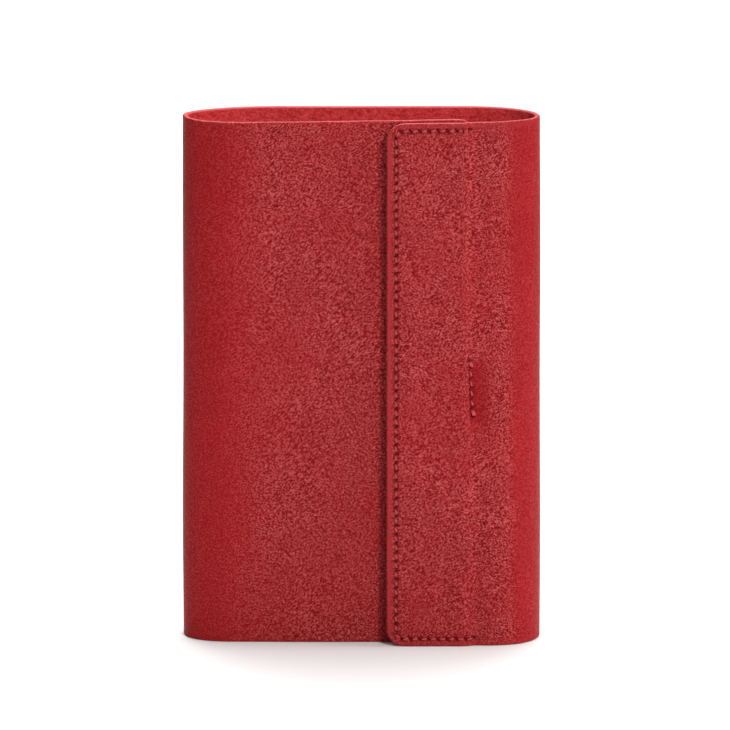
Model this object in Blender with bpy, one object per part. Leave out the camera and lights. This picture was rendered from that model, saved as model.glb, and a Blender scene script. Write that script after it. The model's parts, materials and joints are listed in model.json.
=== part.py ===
"""Pocket notebook in a leather wrap with a tuck-over flap.

The notebook stands upright: +Z up, the spine at -X, the front towards -Y, the origin under
the middle of its box. Sizes are in millimetres and become metres when a mesh is made.

The wrap is one hide. Seen from above its outer face is a closed-up loop: front panel, round
spine, back panel, round fore-edge, flap. It is modelled as five panels that meet on four fold
lines. Every leather layer is laid out flat as cells in (s, z), where s is the length along that
loop, and then wrapped at a given depth below the outer face.
"""
import bisect
import math

import bpy

MM = 0.001
GAP = 0.3                    # clearance between pieces that touch

# driving sizes of the wrap
WIDTH = 103.0
HEIGHT = 154.0
BODY_DEPTH = 22.0            # front panel's face to back panel's face
FLAP_STEP = 4.6              # how far the flap stands in front of the front panel
LEATHER = 1.5
LINING = 1.1
FRONT_LENGTH = 84.7          # spine's outside to the front panel's free end
FLAP_LENGTH = 43.4           # fore-edge's outside to the flap's free end
CORNER = 5.2                 # corner radius of both free ends
BOW = 1.5                    # how far the front panel's free end leans in under the flap
BOW_START = 58.0             # spine's outside to where the lean starts

# round ends of the loop: each quarter bend's reach along X and the power of its superellipse
SPINE_FRONT = (16.0, 2.4)
SPINE_BACK = (30.0, 2.0)
FORE_FRONT = (16.0, 2.15)
FORE_BACK = (22.0, 2.1)
ARC_STEPS = 7                # steps on each side of a fold line

# the flap is lower past the front panel's free end, where nothing lies under it
FLAP_DROP = 1.5
DROP_SPAN = (17.5, 22.5)     # from the fore-edge's outside to the drop's ends

# seams
SEAM_INSET = 2.2
STITCHED_LENGTH = 24.8       # width of the flap's lining and of its end rows
THREAD_WIDTH = 0.6
THREAD_THICK = 0.5
GROOVE_WIDTH = 1.2
GROOVE_DEPTH = 0.8
CHAMFER = 3.0                # how far back from each corner a seam turns
ROW_END = 0.6                # from a lining's inner edge to its rows' ends
TACK_LENGTH = 17.2
TACK_HEIGHT = 75.9           # middle of the tack row, above the base

# closure
MAGNET_SIZE = (10.0, 40.0)
MAGNET_THICK = 0.9
RECESS_DEPTH = 0.6
MAGNET_INSET = 12.4          # from the flap's free end to the magnets' middle line
MAGNET_HEIGHTS = {"lower": 37.0, "upper": 115.0}

FACING_WIDTH = 19.6
POCKET_WIDTH = 36.0
POCKET_MARGIN = 4.5          # from the wrap's top and bottom edges
POCKET_SEAM = 1.3            # from the pocket's edges, just clear of the card behind it
POCKET_INSET = 0.8           # from the fore-edge fold line

# the notebook that the wrap holds
PAGE_WIDTH = 89.0
PAGE_HEIGHT = 140.0
PAGE_CORNER = 6.0
SIGNATURES = 6
FRONT_SIGNATURES = 3
SIGNATURE_THICK = 0.7
ENDPAPER = 0.25
CARD = 0.5
BLOCK_INSET = 6.8            # spine's outside to the signatures' folded edges
BLOCK_DEPTH = 7.7            # back panel's face to the back endpaper
CARD_TURN = 2.2              # spine's back fold line to where the card meets the hide
SPINE_RECESS = 0.5           # how far the turning axis lies in front of the middle gap

LEFT = -WIDTH / 2
RIGHT = WIDTH / 2
BACK = (BODY_DEPTH + FLAP_STEP) / 2
FRONT = BACK - BODY_DEPTH
FLAP_FACE = FRONT - FLAP_STEP
FRONT_END = LEFT + FRONT_LENGTH
FLAP_END = RIGHT - FLAP_LENGTH
BLOCK_LEFT = LEFT + BLOCK_INSET
BLOCK_BACK = BACK - BLOCK_DEPTH


def clear_scene():
    for thing in list(bpy.data.objects):
        bpy.data.objects.remove(thing, do_unlink=True)


def finish(name, colour, roughness, metallic=0.0):
    material = bpy.data.materials.new(name)
    material.use_nodes = True
    shader = material.node_tree.nodes["Principled BSDF"]
    shader.inputs["Base Color"].default_value = (*colour, 1.0)
    shader.inputs["Roughness"].default_value = roughness
    shader.inputs["Metallic"].default_value = metallic
    return material


LEATHER_RED = (0.35, 0.025, 0.028)
THREAD_RED = (0.30, 0.015, 0.02)
SUEDE_RED = (0.48, 0.03, 0.035)
STEEL = (0.55, 0.55, 0.56)
PAPER = (0.86, 0.82, 0.72)
CARD_GREY = (0.16, 0.15, 0.15)


# ---------------------------------------------------------------- the loop seen from above

class Path:
    """An outline seen from above. Depth is measured to the right of its direction."""

    def __init__(self, points):
        self.points = points
        self.lengths = [0.0]
        for a, b in zip(points, points[1:]):
            self.lengths.append(self.lengths[-1] + math.dist(a, b))

    def length(self):
        return self.lengths[-1]

    def right_of(self, index):
        a, b = self.points[index], self.points[index + 1]
        size = math.dist(a, b)
        return ((b[1] - a[1]) / size, -(b[0] - a[0]) / size)

    def mitre(self, index):
        """Offset for one unit of depth at a point of the outline."""
        first = self.right_of(max(index - 1, 0))
        second = self.right_of(min(index, len(self.points) - 2))
        share = 1 + first[0] * second[0] + first[1] * second[1]
        return ((first[0] + second[0]) / share, (first[1] + second[1]) / share)

    def at(self, s, depth):
        s = min(max(s, 0.0), self.length())
        index = min(bisect.bisect_right(self.lengths, s) - 1, len(self.points) - 2)
        start, end = self.lengths[index], self.lengths[index + 1]
        t = (s - start) / (end - start)
        a, b = self.points[index], self.points[index + 1]
        m, n = self.mitre(index), self.mitre(index + 1)
        return tuple(
            (1 - t) * (a[i] + depth * m[i]) + t * (b[i] + depth * n[i])
            for i in range(2)
        )

    def stations(self, s0, s1, extra=()):
        """The outline's own points between two lengths, with both ends and any extra."""
        inner = [s for s in self.lengths if s0 + 0.05 < s < s1 - 0.05]
        return sorted({s0, s1, *inner, *extra})


def bend_point(reach, power, half_depth, angle):
    """A point of a quarter bend: how far in from the side, and how far out from the middle."""
    return (reach * (1 - math.cos(angle) ** (2 / power)),
            half_depth * math.sin(angle) ** (2 / power))


def diagonal_angle(reach, power, half_depth):
    """Where a quarter bend's tangent is at 45 degrees."""
    return math.atan((half_depth / reach) ** (power / (2 * (power - 1))))


def level_angle(reach, power, half_depth, target):
    """Where a bend point's two distances add up to the target, by halving."""
    low, high = 0.0, math.pi / 2
    for _step in range(40):
        middle = (low + high) / 2
        if sum(bend_point(reach, power, half_depth, middle)) < target:
            low = middle
        else:
            high = middle
    return low


def quarter_bend(reach, power, half_depth, fold):
    """Points from the side to the flat, with the fold line in the middle of them."""
    angles = [fold * i / ARC_STEPS for i in range(ARC_STEPS)]
    angles += [fold + (math.pi / 2 - fold) * i / ARC_STEPS for i in range(ARC_STEPS + 1)]
    return [bend_point(reach, power, half_depth, angle) for angle in angles]


def round_end(edge, middle, half_depth, front, back, side):
    """Points round one end, in the direction from the front to the back.

    The front fold line is where the tangent is at 45 degrees. The back one is placed so that
    a quarter turn about each brings the far panel level with the back panel.
    """
    front_fold = diagonal_angle(*front, half_depth)
    target = sum(bend_point(*front, half_depth, front_fold))
    back_fold = level_angle(*back, half_depth, target)
    front_half = quarter_bend(*front, half_depth, front_fold)
    back_half = quarter_bend(*back, half_depth, back_fold)
    points = [(edge - side * inward, middle - out) for inward, out in front_half[:0:-1]]
    return points + [(edge - side * inward, middle + out) for inward, out in back_half]


def eased(start, end, steps):
    """Points from start to end, with Y changing smoothly."""
    points = []
    for i in range(steps + 1):
        share = i / steps
        rise = share * share * (3 - 2 * share)
        points.append((start[0] + (end[0] - start[0]) * share,
                       start[1] + (end[1] - start[1]) * rise))
    return points


def wrap_outline():
    lean = eased((LEFT + BOW_START, FRONT), (FRONT_END, FRONT + BOW), 8)[::-1]
    spine = round_end(LEFT, (FRONT + BACK) / 2, BODY_DEPTH / 2, SPINE_FRONT, SPINE_BACK, -1)
    low_face = FLAP_FACE + FLAP_DROP
    fore = round_end(RIGHT, (low_face + BACK) / 2, (BACK - low_face) / 2,
                     FORE_FRONT, FORE_BACK, 1)
    fore.reverse()
    step = eased((RIGHT - DROP_SPAN[0], low_face), (RIGHT - DROP_SPAN[1], FLAP_FACE), 4)
    points = lean + spine + fore + step + [(FLAP_END, FLAP_FACE)]
    first_spine = len(lean)
    first_fore = first_spine + len(spine)
    folds = {
        "front_spine": first_spine + ARC_STEPS,
        "spine_back": first_spine + 3 * ARC_STEPS,
        "back_fore": first_fore + ARC_STEPS,
        "fore_flap": first_fore + 3 * ARC_STEPS,
    }
    return Path(points), folds


WRAP, FOLDS = wrap_outline()
FOLD_AT = {name: WRAP.lengths[index] for name, index in FOLDS.items()}
FOLD_POINT = {name: WRAP.points[index] for name, index in FOLDS.items()}


# ------------------------------------------------------------------------ making the solids

def corner_rise(distance, radius):
    """How far a rounded corner's edge is from the straight edge, at a distance from the end."""
    if distance >= radius:
        return 0.0
    return radius - math.sqrt(radius * radius - (radius - distance) ** 2)


def corner_stations(end, direction, radius):
    steps = 6
    return [
        end + direction * radius * (1 - math.cos(math.pi / 2 * i / steps))
        for i in range(steps + 1)
    ]


def panel_cells(stations, low, high):
    """A strip of four-sided cells between a low and a high edge, both functions of s."""
    return [
        [(a, low(a)), (b, low(b)), (b, high(b)), (a, high(a))]
        for a, b in zip(stations, stations[1:])
    ]


def laid_shape(path, cells, outer, inner):
    """Points and faces of flat (s, z) cells wrapped between two depths of a path."""
    corners = sorted({(round(s, 5), round(z, 5)) for cell in cells for s, z in cell})
    number = {corner: i for i, corner in enumerate(corners)}
    count = len(corners)
    points = []
    for depth in (outer, inner):
        for s, z in corners:
            x, y = path.at(s, depth)
            points.append((x * MM, y * MM, z * MM))
    faces = []
    edges = set()
    for cell in cells:
        loop = [number[(round(s, 5), round(z, 5))] for s, z in cell]
        faces.append(loop[::-1])
        faces.append([i + count for i in loop])
        edges.update(zip(loop, loop[1:] + loop[:1]))
    for a, b in edges:
        if (b, a) not in edges:
            faces.append([a, b, b + count, a + count])
    return points, faces


def laid_solid(name, path, cells, outer, inner, material):
    return mesh_object(name, *laid_shape(path, cells, outer, inner), material)


def mesh_object(name, points, faces, material):
    mesh = bpy.data.meshes.new(name)
    mesh.from_pydata(points, [], faces)
    mesh.materials.append(material)
    mesh.update()
    thing = bpy.data.objects.new(name, mesh)
    bpy.context.scene.collection.objects.link(thing)
    return thing


def place_origin(thing, point):
    """Move a piece's origin onto its joint's axis without moving its shape."""
    x, y, z = point[0] * MM, point[1] * MM, 0.0
    for vertex in thing.data.vertices:
        vertex.co.x -= x
        vertex.co.y -= y
    thing.location = (x, y, z)


def hollow_out(host, shapes):
    """Cut all of a piece's grooves and recesses at once. The shapes don't touch each other."""
    points, faces = [], []
    for shape_points, shape_faces in shapes:
        first = len(points)
        points += shape_points
        faces += [[i + first for i in face] for face in shape_faces]
    cutter = mesh_object(host.name + "_hollows", points, faces, host.data.materials[0])
    cutter.hide_render = True
    cutter.display_type = "WIRE"
    modifier = host.modifiers.new("hollows", "BOOLEAN")
    modifier.operation = "DIFFERENCE"
    modifier.solver = "EXACT"
    modifier.object = cutter


def bracket_cells(inner_s, outer_s, low, high, width, chamfer):
    """A band on three sides: along outer_s, and back to inner_s at both ends, corners cut."""
    way = math.copysign(1, inner_s - outer_s)
    inside = outer_s + way * width
    turn = outer_s + way * chamfer
    cells = [[(outer_s, low + chamfer), (inside, low + chamfer),
              (inside, high - chamfer), (outer_s, high - chamfer)]]
    for edge, up in ((low, 1), (high, -1)):
        cells.append([(outer_s, edge + up * chamfer), (turn, edge),
                      (turn, edge + up * width), (inside, edge + up * chamfer)])
        stops = WRAP.stations(*sorted((turn, inner_s)))
        for a, b in zip(stops, stops[1:]):
            cells.append([(a, edge), (b, edge), (b, edge + up * width), (a, edge + up * width)])
    return [counter_clockwise(cell) for cell in cells]


def counter_clockwise(cell):
    area = sum(a[0] * b[1] - b[0] * a[1] for a, b in zip(cell, cell[1:] + cell[:1]))
    return cell if area > 0 else cell[::-1]


# --------------------------------------------------------------------------------- the wrap

TOTAL = WRAP.length()


def free_edge_low(s):
    near_end = min(s, TOTAL - s)
    return corner_rise(near_end, CORNER)


def free_edge_high(s):
    return HEIGHT - free_edge_low(s)


def panel(name, s0, s1, material, extra=()):
    cells = panel_cells(WRAP.stations(s0, s1, extra), free_edge_low, free_edge_high)
    return laid_solid(name, WRAP, cells, 0.0, LEATHER, material)


def make_wrap():
    """The hide's five panels, each ending just short of its fold lines."""
    leather = finish("leather", LEATHER_RED, 0.45)
    half = GAP / 2
    first, second = FOLD_AT["front_spine"], FOLD_AT["spine_back"]
    third, fourth = FOLD_AT["back_fore"], FOLD_AT["fore_flap"]
    return {
        "front_panel": panel("front_panel", 0.0, first - half, leather,
                             corner_stations(0.0, 1, CORNER)),
        "spine_panel": panel("spine_panel", first + half, second - half, leather),
        "back_panel": panel("back_panel", second + half, third - half, leather),
        "fore_edge_panel": panel("fore_edge_panel", third + half, fourth - half, leather),
        "flap_panel": panel("flap_panel", fourth + half, TOTAL, leather,
                            corner_stations(TOTAL, -1, CORNER)),
    }


def seam(name, inner_s, outer_s, low, high, face_depth, inward, thread):
    """A seam on three sides: the thread, and the shape of the groove that it lies in."""
    margin = (GROOVE_WIDTH - THREAD_WIDTH) / 2
    way = math.copysign(1, inner_s - outer_s)
    grooved = bracket_cells(inner_s + way * margin, outer_s - way * margin, low - margin,
                            high + margin, GROOVE_WIDTH, CHAMFER + margin)
    stitched = bracket_cells(inner_s, outer_s, low, high, THREAD_WIDTH, CHAMFER)
    return row_in_groove(name, stitched, grooved, face_depth, inward, thread)


def straight_row(name, s, low, high, thread):
    """One vertical row on the outer face, and its groove."""
    margin = (GROOVE_WIDTH - THREAD_WIDTH) / 2
    end = s + THREAD_WIDTH
    stitched = [[(s, low), (end, low), (end, high), (s, high)]]
    grooved = [[(s - margin, low - margin), (end + margin, low - margin),
                (end + margin, high + margin), (s - margin, high + margin)]]
    return row_in_groove(name, stitched, grooved, 0.0, 1, thread)


def row_in_groove(name, stitched, grooved, face_depth, inward, thread):
    bottom = face_depth + inward * GROOVE_DEPTH
    clear = face_depth - inward * LEATHER
    base = bottom - inward * GAP
    top = base - inward * THREAD_THICK
    groove = laid_shape(WRAP, grooved, min(bottom, clear), max(bottom, clear))
    return laid_solid(name, WRAP, stitched, min(top, base), max(top, base), thread), groove


def make_flap_lining():
    leather = finish("lining", SUEDE_RED, 0.85)
    outer = LEATHER + GAP
    end = TOTAL - GAP
    stations = WRAP.stations(TOTAL - STITCHED_LENGTH, end, corner_stations(end, -1, CORNER))

    def low(s):
        return GAP + corner_rise(end - s, CORNER)

    cells = panel_cells(stations, low, lambda s: HEIGHT - low(s))
    return laid_solid("flap_lining", WRAP, cells, outer, outer + LINING, leather)


def inlay(name, middle_s, middle_z, material):
    """A thin bar between the wrap and the layer sewn to it, and its recess in both."""
    half_s, half_z = MAGNET_SIZE[0] / 2, MAGNET_SIZE[1] / 2

    def rectangle(margin):
        stops = WRAP.stations(middle_s - half_s - margin, middle_s + half_s + margin)
        return panel_cells(stops, lambda s: middle_z - half_z - margin,
                           lambda s: middle_z + half_z + margin)

    middle = LEATHER + GAP / 2
    bar = laid_solid(name, WRAP, rectangle(0.0),
                     middle - MAGNET_THICK / 2, middle + MAGNET_THICK / 2, material)
    recess = laid_shape(WRAP, rectangle(GAP), LEATHER - RECESS_DEPTH, LEATHER + GAP + RECESS_DEPTH)
    return bar, recess


def make_front_facing():
    leather = finish("facing", SUEDE_RED, 0.85)
    thread = finish("facing_thread", THREAD_RED, 0.6)
    outer = LEATHER + GAP
    stations = WRAP.stations(GAP, FACING_WIDTH, corner_stations(GAP, 1, CORNER))

    def low(s):
        return GAP + corner_rise(s - GAP, CORNER)

    cells = panel_cells(stations, low, lambda s: HEIGHT - low(s))
    facing = laid_solid("front_facing", WRAP, cells, outer, outer + LINING, leather)
    rows, groove = seam("facing_seam_thread", FACING_WIDTH - ROW_END, SEAM_INSET,
                        SEAM_INSET, HEIGHT - SEAM_INSET, outer + LINING, -1, thread)
    return facing, rows, groove


def make_pocket():
    leather = finish("pocket", SUEDE_RED, 0.85)
    thread = finish("pocket_thread", THREAD_RED, 0.6)
    outer = LEATHER + GAP + CARD + GAP
    end = FOLD_AT["back_fore"] - POCKET_INSET
    start = end - POCKET_WIDTH
    cells = panel_cells(WRAP.stations(start, end), lambda s: POCKET_MARGIN,
                        lambda s: HEIGHT - POCKET_MARGIN)
    pocket = laid_solid("back_pocket", WRAP, cells, outer, outer + LINING, leather)
    low = POCKET_MARGIN + POCKET_SEAM
    _rows, groove = seam("pocket_seam_thread", start + ROW_END, end - POCKET_SEAM,
                         low, HEIGHT - low, outer + LINING, -1, thread)
    hollow_out(pocket, [groove])


# ------------------------------------------------------------- the notebook inside the wrap

PAGE_LOW = (HEIGHT - PAGE_HEIGHT) / 2
PAGE_HIGH = PAGE_LOW + PAGE_HEIGHT
PITCH = SIGNATURE_THICK + GAP
BLOCK_FRONT = BLOCK_BACK - 2 * ENDPAPER - GAP - SIGNATURES * PITCH
SPINE_AXIS = (BLOCK_LEFT - GAP - CARD - GAP / 2,
              (BLOCK_BACK + BLOCK_FRONT) / 2 - SPINE_RECESS)


def page_cells(left, right):
    stations = sorted({left, *corner_stations(right, -1, PAGE_CORNER)})
    return panel_cells(
        stations,
        lambda x: PAGE_LOW + corner_rise(right - x, PAGE_CORNER),
        lambda x: PAGE_HIGH - corner_rise(right - x, PAGE_CORNER),
    )


def sheet(name, back, thick, material):
    """A flat leaf or section of the block, its folded edge at BLOCK_LEFT."""
    path = Path([(BLOCK_LEFT, back), (BLOCK_LEFT + PAGE_WIDTH, back)])
    return laid_solid(name, path, page_cells(0.0, PAGE_WIDTH), 0.0, thick, material)


def make_block():
    """The paper block. The pieces that turn over with the front cover are handed back."""
    paper = finish("paper", PAPER, 0.8)
    sheet("back_endpaper", BLOCK_BACK, ENDPAPER, paper)
    first_back = BLOCK_BACK - ENDPAPER - GAP
    turning = [sheet("front_endpaper", BLOCK_FRONT + ENDPAPER, ENDPAPER, paper)]
    for i in range(SIGNATURES):
        number = SIGNATURES - i
        piece = sheet(f"signature_{number}", first_back - i * PITCH, SIGNATURE_THICK, paper)
        if number <= FRONT_SIGNATURES:
            turning.append(piece)
    return turning


def make_front_card():
    """The card cover's front leaf and its half of the spine."""
    card = finish("card_front", CARD_GREY, 0.7)
    face = BLOCK_FRONT - GAP - CARD
    spine = BLOCK_LEFT - GAP - CARD
    right = BLOCK_LEFT + PAGE_WIDTH
    path = Path([(right, face), (spine, face), (spine, SPINE_AXIS[1] - GAP / 2)])
    stations = sorted({*corner_stations(0.0, 1, PAGE_CORNER), *path.lengths})
    cells = panel_cells(stations,
                        lambda s: PAGE_LOW + corner_rise(s, PAGE_CORNER),
                        lambda s: PAGE_HIGH - corner_rise(s, PAGE_CORNER))
    return laid_solid("insert_front_cover", path, cells, 0.0, CARD, card)


def make_back_card():
    """The card cover's back leaf, slipped behind the pocket, and its half of the spine."""
    card = finish("card_back", CARD_GREY, 0.7)
    spine = BLOCK_LEFT - GAP - CARD
    under_leather = LEATHER + GAP
    points = [(spine, SPINE_AXIS[1] + GAP / 2), (spine, BLOCK_BACK)]
    start = FOLD_AT["spine_back"] + CARD_TURN
    stop = FOLD_AT["back_fore"] - POCKET_INSET - POCKET_SEAM - GROOVE_WIDTH
    points += [WRAP.at(s, under_leather) for s in WRAP.stations(start, stop)]
    path = Path(points)
    total = path.length()
    stations = sorted({*corner_stations(total, -1, PAGE_CORNER), *path.lengths})
    cells = panel_cells(stations,
                        lambda s: PAGE_LOW + corner_rise(total - s, PAGE_CORNER),
                        lambda s: PAGE_HIGH - corner_rise(total - s, PAGE_CORNER))
    return laid_solid("insert_back_cover", path, cells, 0.0, CARD, card)


# --------------------------------------------------------------------------------- assembly

def main():
    clear_scene()
    panels = make_wrap()
    lining = make_flap_lining()
    thread = finish("flap_thread", THREAD_RED, 0.6)
    row_start = TOTAL - STITCHED_LENGTH + ROW_END
    rows, seam_groove = seam("flap_seam_thread", row_start, TOTAL - SEAM_INSET,
                             SEAM_INSET, HEIGHT - SEAM_INSET, 0.0, 1, thread)
    tack, tack_groove = straight_row("flap_tack_thread", row_start, TACK_HEIGHT - TACK_LENGTH / 2,
                                     TACK_HEIGHT + TACK_LENGTH / 2, thread)
    facing, facing_rows, facing_groove = make_front_facing()
    make_pocket()

    magnet = finish("magnet", STEEL, 0.35, 1.0)
    keeper = finish("keeper", STEEL, 0.4, 1.0)
    magnet_s = TOTAL - MAGNET_INSET
    keeper_s = FRONT_END - (FLAP_END + MAGNET_INSET)
    flap_pieces = [panels["flap_panel"], lining, rows, tack]
    front_pieces = [panels["front_panel"], facing, facing_rows]
    flap_recesses, front_recesses = [], []
    for place, height in MAGNET_HEIGHTS.items():
        bar, recess = inlay(f"flap_magnet_{place}", magnet_s, height, magnet)
        flap_pieces.append(bar)
        flap_recesses.append(recess)
        bar, recess = inlay(f"keeper_plate_{place}", keeper_s, height, keeper)
        front_pieces.append(bar)
        front_recesses.append(recess)
    hollow_out(panels["flap_panel"], [seam_groove, tack_groove, *flap_recesses])
    hollow_out(lining, flap_recesses)
    hollow_out(panels["front_panel"], front_recesses)
    hollow_out(facing, [facing_groove, *front_recesses])

    turning = make_block() + [make_front_card()]
    make_back_card()
    for piece in front_pieces:
        place_origin(piece, FOLD_POINT["front_spine"])
    place_origin(panels["spine_panel"], FOLD_POINT["spine_back"])
    place_origin(panels["fore_edge_panel"], FOLD_POINT["back_fore"])
    for piece in flap_pieces:
        place_origin(piece, FOLD_POINT["fore_flap"])
    for piece in turning:
        place_origin(piece, SPINE_AXIS)


main()
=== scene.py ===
"""Looks of the pocket notebook in its leather wrap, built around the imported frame.

Every leather layer is drawn flat, in millimetres, as (s, z, depth): s runs along the wrap's
outline seen from above, from the front panel's free end round the spine, the back and the
fore-edge to the flap's free end, z is the height, and depth is measured in from the outer face.
The flat place is kept on each point, so that the grain stays put when the wrap is opened.
"""
import json
import math

import bpy
import numpy as np
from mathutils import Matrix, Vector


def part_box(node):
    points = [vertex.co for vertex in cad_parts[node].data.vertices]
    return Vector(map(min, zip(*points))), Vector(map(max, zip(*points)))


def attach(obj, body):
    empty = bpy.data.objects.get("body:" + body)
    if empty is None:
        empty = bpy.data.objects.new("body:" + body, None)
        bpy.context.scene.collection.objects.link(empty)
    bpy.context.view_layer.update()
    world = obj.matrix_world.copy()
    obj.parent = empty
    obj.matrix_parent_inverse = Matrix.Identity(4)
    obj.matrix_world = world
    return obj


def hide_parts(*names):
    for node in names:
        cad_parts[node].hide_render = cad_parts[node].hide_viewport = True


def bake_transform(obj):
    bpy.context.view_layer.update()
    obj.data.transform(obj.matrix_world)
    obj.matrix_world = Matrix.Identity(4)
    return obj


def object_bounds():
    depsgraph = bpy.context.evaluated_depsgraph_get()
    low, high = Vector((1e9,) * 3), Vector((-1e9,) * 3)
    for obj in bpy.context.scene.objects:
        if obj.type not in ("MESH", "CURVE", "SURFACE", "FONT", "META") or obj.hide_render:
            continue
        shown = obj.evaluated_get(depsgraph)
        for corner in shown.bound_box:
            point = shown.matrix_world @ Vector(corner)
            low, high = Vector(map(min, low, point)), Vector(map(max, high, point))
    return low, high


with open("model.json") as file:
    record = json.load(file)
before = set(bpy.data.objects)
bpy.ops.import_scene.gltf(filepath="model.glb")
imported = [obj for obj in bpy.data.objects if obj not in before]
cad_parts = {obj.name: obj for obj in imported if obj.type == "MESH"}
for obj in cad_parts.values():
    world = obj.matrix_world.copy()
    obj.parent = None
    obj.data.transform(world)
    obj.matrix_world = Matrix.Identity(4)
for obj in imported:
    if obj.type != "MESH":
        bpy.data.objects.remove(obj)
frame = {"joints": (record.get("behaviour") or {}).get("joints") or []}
cad_low, cad_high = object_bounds()

MM = 0.001


def corners_mm(node):
    """A node's lowest and highest corner, in millimetres."""
    low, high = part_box(node)
    return np.array(low) / MM, np.array(high) / MM


def joint_mm(name):
    """A joint's place seen from above, in millimetres."""
    found = next(joint for joint in frame["joints"] if joint["name"] == name)
    return np.array(found["pos_m"][:2]) / MM


# ---- sizes, from the frame

FRONT_PANEL = corners_mm("front_panel")
FLAP_PANEL = corners_mm("flap_panel")
LEFT = corners_mm("spine_panel")[0][0]
RIGHT = corners_mm("fore_edge_panel")[1][0]
BACK = corners_mm("back_panel")[1][1]
HEIGHT = corners_mm("back_panel")[1][2]
FRONT = FRONT_PANEL[0][1]
FRONT_END = FRONT_PANEL[1][0]
FLAP_FACE = FLAP_PANEL[0][1]
EDGE_SPREAD = 0.9  # the flap's soft free edge reaches a little further
FLAP_END = FLAP_PANEL[0][0] - EDGE_SPREAD

GAP = 0.3  # clearance between layers
LEATHER = 1.5  # thicknesses of the hide, its strips and the card
LINING = 1.1
CARD = 0.5
CORNER = 5.2  # corner radius of both free ends
BOW = 1.5  # how far the front panel's free end leans in
BOW_START = 58.0  # spine's outside to where the lean starts
SPINE_FRONT = (16.0, 2.4)  # each quarter bend's reach and superellipse power
SPINE_BACK = (30.0, 2.0)
FORE_FRONT = (16.0, 2.15)
FORE_BACK = (22.0, 2.1)
FLAP_DROP = 1.5  # the flap is lower where nothing lies under it
DROP_SPAN = (17.5, 22.5)  # from the fore-edge's outside to the drop's ends
LOW_FACE = FLAP_FACE + FLAP_DROP
SPINE_SIDE = (LEFT, (FRONT + BACK) / 2)  # outermost places of the two round ends
FORE_SIDE = (RIGHT, (LOW_FACE + BACK) / 2)

LINING_WIDTH = 25.1 + EDGE_SPREAD
FACING_WIDTH = 19.6
POCKET_WIDTH = 36.0
POCKET_INSET = 0.8  # from the fore-edge's fold line
POCKET_MARGIN = 4.5  # from the wrap's top and bottom edges
POCKET_SEAM = 1.3  # from the pocket's edges to its seam
LINING_DEPTH = LEATHER + GAP
POCKET_DEPTH = LEATHER + GAP + CARD + GAP

SEAM_INSET = 2.2  # from the hide's edges to their seams
FLAP_SEAM_INSET = 2.75  # from the flap's free edge, which is spread
SEAM_CHAMFER = 1.3  # how far back from each corner a seam turns
ROW_END = 0.6  # from a strip's inner edge to the ends of its rows
STITCH_PITCH = 2.66
STITCH_LENGTH = 1.45
PLY_RADIUS = 0.17
TACK_MIDDLE = 75.9  # height of the tack row's middle
TACK_LENGTH = 17.2
TACK_INSET = 0.9  # from the lining's inner edge
TACK_TILT = 0.3  # how far its ends lie to each side

MAGNET_SIZE = (10.0, 40.0)
MAGNET_THICK = 0.9
MAGNET_INSET = 12.4 + EDGE_SPREAD  # from the flap's end to the magnets' middles
RECESS = 0.45  # how deep they are let into the layer on each side
RECESS_ROOM = 0.9  # how far a recess reaches past its magnet, and its slope
RECESS_SLOPE = 0.7
MAGNET_HEIGHTS = tuple(
    sum(corners_mm(f"flap_magnet_{place}")[i][2] for i in range(2)) / 2
    for place in ("lower", "upper")
)


# ---- outlines from above

def eased(share):
    """A smooth step: 0 below 0, 1 above 1."""
    share = np.clip(share, 0.0, 1.0)
    return share * share * (3 - 2 * share)


def unit(way):
    """A direction of length one."""
    return way / np.linalg.norm(way)


class Line:
    """A smooth line seen from above, with the inward side on its right."""

    def __init__(self, points, step=0.25, relax=0):
        points = np.array(points, float)
        gaps = np.linalg.norm(np.diff(points, axis=0), axis=1)
        along = np.concatenate([[0.0], np.cumsum(gaps)])
        self.s = np.linspace(0.0, along[-1], int(along[-1] / step) + 2)
        self.xy = np.stack([np.interp(self.s, along, points[:, i]) for i in range(2)], 1)
        for _pass in range(relax):
            self.xy[1:-1] = (self.xy[:-2] + 2 * self.xy[1:-1] + self.xy[2:]) / 4
        tangent = np.gradient(self.xy, axis=0)
        tangent /= np.linalg.norm(tangent, axis=1)[:, None]
        self.inward = np.stack([tangent[:, 1], -tangent[:, 0]], 1)
        self.length = along[-1]

    def place(self, s, z, depth):
        """Points in metres from flat places in millimetres."""
        flat = np.broadcast_arrays(s, z, depth)
        s, z, depth = (np.asarray(part, float) for part in flat)
        x, y = (
            np.interp(s, self.s, self.xy[:, i]) + depth * np.interp(s, self.s, self.inward[:, i])
            for i in range(2)
        )
        return np.stack([x, y, z], -1) * MM

    def nearest(self, point):
        """How far along the line it passes closest to a point."""
        return float(self.s[np.argmin(np.linalg.norm(self.xy - np.array(point), axis=1))])


def quarter_bend(reach, power, half_depth, steps=90):
    """A quarter superellipse, from the side to the flat: how far in and how far out."""
    angles = np.linspace(0.0, math.pi / 2, steps)
    cosine = np.clip(np.cos(angles), 0.0, 1.0)
    return np.stack([reach * (1 - cosine ** (2 / power)),
                     half_depth * np.sin(angles) ** (2 / power)], 1)


def round_end(edge, middle, half_depth, front, back, side):
    """One round end of the wrap, in the direction from the front to the back."""
    points = []
    for (reach, power), way in ((front, -1), (back, 1)):
        bend = quarter_bend(reach, power, half_depth)
        half = np.stack([edge - side * bend[:, 0], middle + way * bend[:, 1]], 1)
        points.append(half[:0:-1] if way < 0 else half)
    return np.concatenate(points)


def eased_line(start, end, steps=40):
    """A smooth step seen from above, from one flat to another."""
    share = np.linspace(0.0, 1.0, steps)
    return np.stack([start[0] + (end[0] - start[0]) * share,
                     start[1] + (end[1] - start[1]) * eased(share)], 1)


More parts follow.
